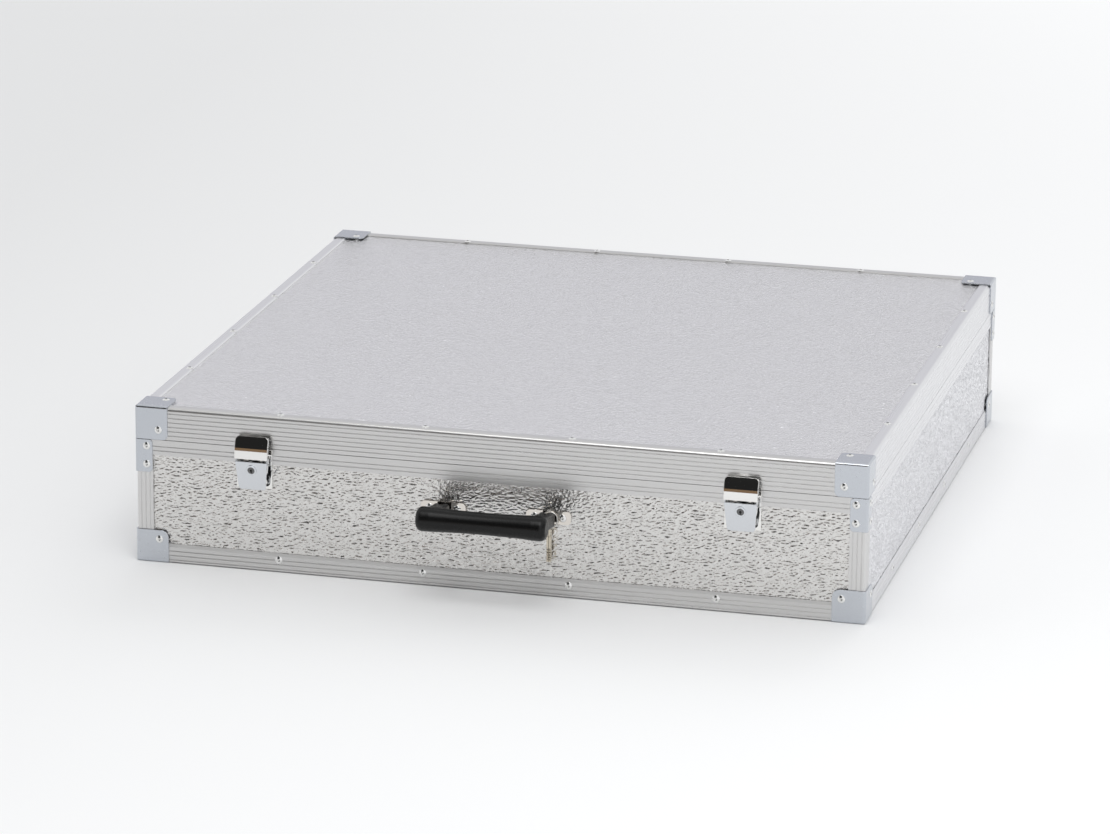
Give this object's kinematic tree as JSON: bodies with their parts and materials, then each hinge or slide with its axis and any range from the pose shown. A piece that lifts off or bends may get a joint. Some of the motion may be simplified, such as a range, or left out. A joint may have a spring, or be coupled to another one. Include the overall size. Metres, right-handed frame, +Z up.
{
  "type": "art supply case",
  "caption": "Flat square aluminium case with hinged lid, steel corners, keyed toggle latches, carrying handle and keys, for carrying drawing and painting supplies.",
  "frame": {"origin": "centre of the footprint, on the plane that the four steel foot corners rest on", "axes": "+X to the right seen from the handle side, +Y from the handle side to the hinges, +Z up"},
  "size_m": [0.7524, 0.8071, 0.1652],
  "materials": {
    "profile_aluminium": "satin ribbed extrusion",
    "embossed_aluminium": "bright hammered sheet",
    "zinc_steel": "smooth zinc plated",
    "chrome_plate": "polished nickel chrome",
    "rivet_steel": "bright plated",
    "bright_steel": "bright steel",
    "black_grip": "satin black moulding",
    "key_brass": "nickel plated brass, slightly worn"
  },
  "bodies": {
    "case_base": {"floor_panel": "embossed_aluminium", "front_panel": "embossed_aluminium", "right_panel": "embossed_aluminium", "back_panel": "embossed_aluminium", "left_panel": "embossed_aluminium", "rim_front": "profile_aluminium", "rim_right": "profile_aluminium", "rim_back": "profile_aluminium", "rim_left": "profile_aluminium", "edge_front": "profile_aluminium", "edge_right": "profile_aluminium", "edge_back": "profile_aluminium", "edge_left": "profile_aluminium", "corner_posts": "profile_aluminium", "corner_guards": "zinc_steel", "foot_front_left": "zinc_steel", "foot_front_right": "zinc_steel", "foot_back_right": "zinc_steel", "foot_back_left": "zinc_steel", "base_rivets": "rivet_steel", "bracket_left": "chrome_plate", "bracket_right": "chrome_plate", "latch_plate_left": "chrome_plate", "latch_plate_right": "chrome_plate", "lever_pin_left": "bright_steel", "lever_pin_right": "bright_steel", "base_leaf_left": "bright_steel", "base_leaf_right": "bright_steel", "hinge_pin_left": "bright_steel", "hinge_pin_right": "bright_steel"},
    "lid": {"lid_panel": "embossed_aluminium", "lid_frame_front": "profile_aluminium", "lid_frame_right": "profile_aluminium", "lid_frame_back": "profile_aluminium", "lid_frame_left": "profile_aluminium", "lid_corner_front_left": "zinc_steel", "lid_corner_front_right": "zinc_steel", "lid_corner_back_right": "zinc_steel", "lid_corner_back_left": "zinc_steel", "lid_rivets": "rivet_steel", "strike_left": "chrome_plate", "strike_right": "chrome_plate", "lid_leaf_left": "bright_steel", "lid_leaf_right": "bright_steel"},
    "latch_lever_left": {"lever_left": "chrome_plate", "claw_pin_left": "bright_steel"},
    "latch_claw_left": {"claw_left": "chrome_plate"},
    "latch_lock_left": {"lock_plug_left": "bright_steel", "lock_cam_left": "bright_steel"},
    "latch_lever_right": {"lever_right": "chrome_plate", "claw_pin_right": "bright_steel"},
    "latch_claw_right": {"claw_right": "chrome_plate"},
    "latch_lock_right": {"lock_plug_right": "bright_steel", "lock_cam_right": "bright_steel"},
    "handle": {"handle_grip": "black_grip"},
    "key_ring": {"key_ring": "bright_steel"},
    "key_front": {"key_front": "key_brass"},
    "key_rear": {"key_rear": "key_brass"}
  },
  "joints": [
    {"name": "lid_hinge", "type": "hinge", "parent": "case_base", "child": "lid", "pos_m": [0, 0.3699, 0.129], "axis": [-1, 0, 0], "range_deg": [0, 95]},
    {"name": "lever_left_swing", "type": "hinge", "parent": "case_base", "child": "latch_lever_left", "pos_m": [-0.25, -0.3723, 0.118], "axis": [-1, 0, 0], "range_deg": [0, 85]},
    {"name": "claw_left_link", "type": "hinge", "parent": "latch_lever_left", "child": "latch_claw_left", "pos_m": [-0.25, -0.37437, 0.11505], "axis": [1, 0, 0], "range_deg": [0, 95.2]},
    {"name": "lock_left_turn", "type": "hinge", "parent": "latch_lever_left", "child": "latch_lock_left", "pos_m": [-0.25, -0.37709, 0.10848], "axis": [0, -0.9863, -0.165], "range_deg": [0, 90]},
    {"name": "lever_right_swing", "type": "hinge", "parent": "case_base", "child": "latch_lever_right", "pos_m": [0.25, -0.3723, 0.118], "axis": [-1, 0, 0], "range_deg": [0, 85]},
    {"name": "claw_right_link", "type": "hinge", "parent": "latch_lever_right", "child": "latch_claw_right", "pos_m": [0.25, -0.37437, 0.11505], "axis": [1, 0, 0], "range_deg": [0, 95.2]},
    {"name": "lock_right_turn", "type": "hinge", "parent": "latch_lever_right", "child": "latch_lock_right", "pos_m": [0.25, -0.37709, 0.10848], "axis": [0, -0.9863, -0.165], "range_deg": [0, 90]},
    {"name": "handle_swing", "type": "hinge", "parent": "case_base", "child": "handle", "pos_m": [0, -0.3776, 0.0826], "axis": [1, 0, 0], "range_deg": [-72, 50]},
    {"name": "key_ring_swing", "type": "hinge", "parent": "case_base", "child": "key_ring", "pos_m": [0.0558, -0.3673, 0.08845], "axis": [-1, 0, 0], "range_deg": [-3, 2]},
    {"name": "key_front_swing", "type": "hinge", "parent": "key_ring", "child": "key_front", "pos_m": [0.0558, -0.37008, 0.07269], "axis": [-1, 0, 0], "range_deg": [0, 15]},
    {"name": "key_rear_swing", "type": "hinge", "parent": "key_ring", "child": "key_rear", "pos_m": [0.0558, -0.37008, 0.07269], "axis": [-1, 0, 0], "range_deg": [0, 15]}
  ],
  "couplings": [
    {"joint": "claw_left_link", "follows": "lever_left_swing", "ratio": 1.12},
    {"joint": "claw_right_link", "follows": "lever_right_swing", "ratio": 1.12}
  ]
}
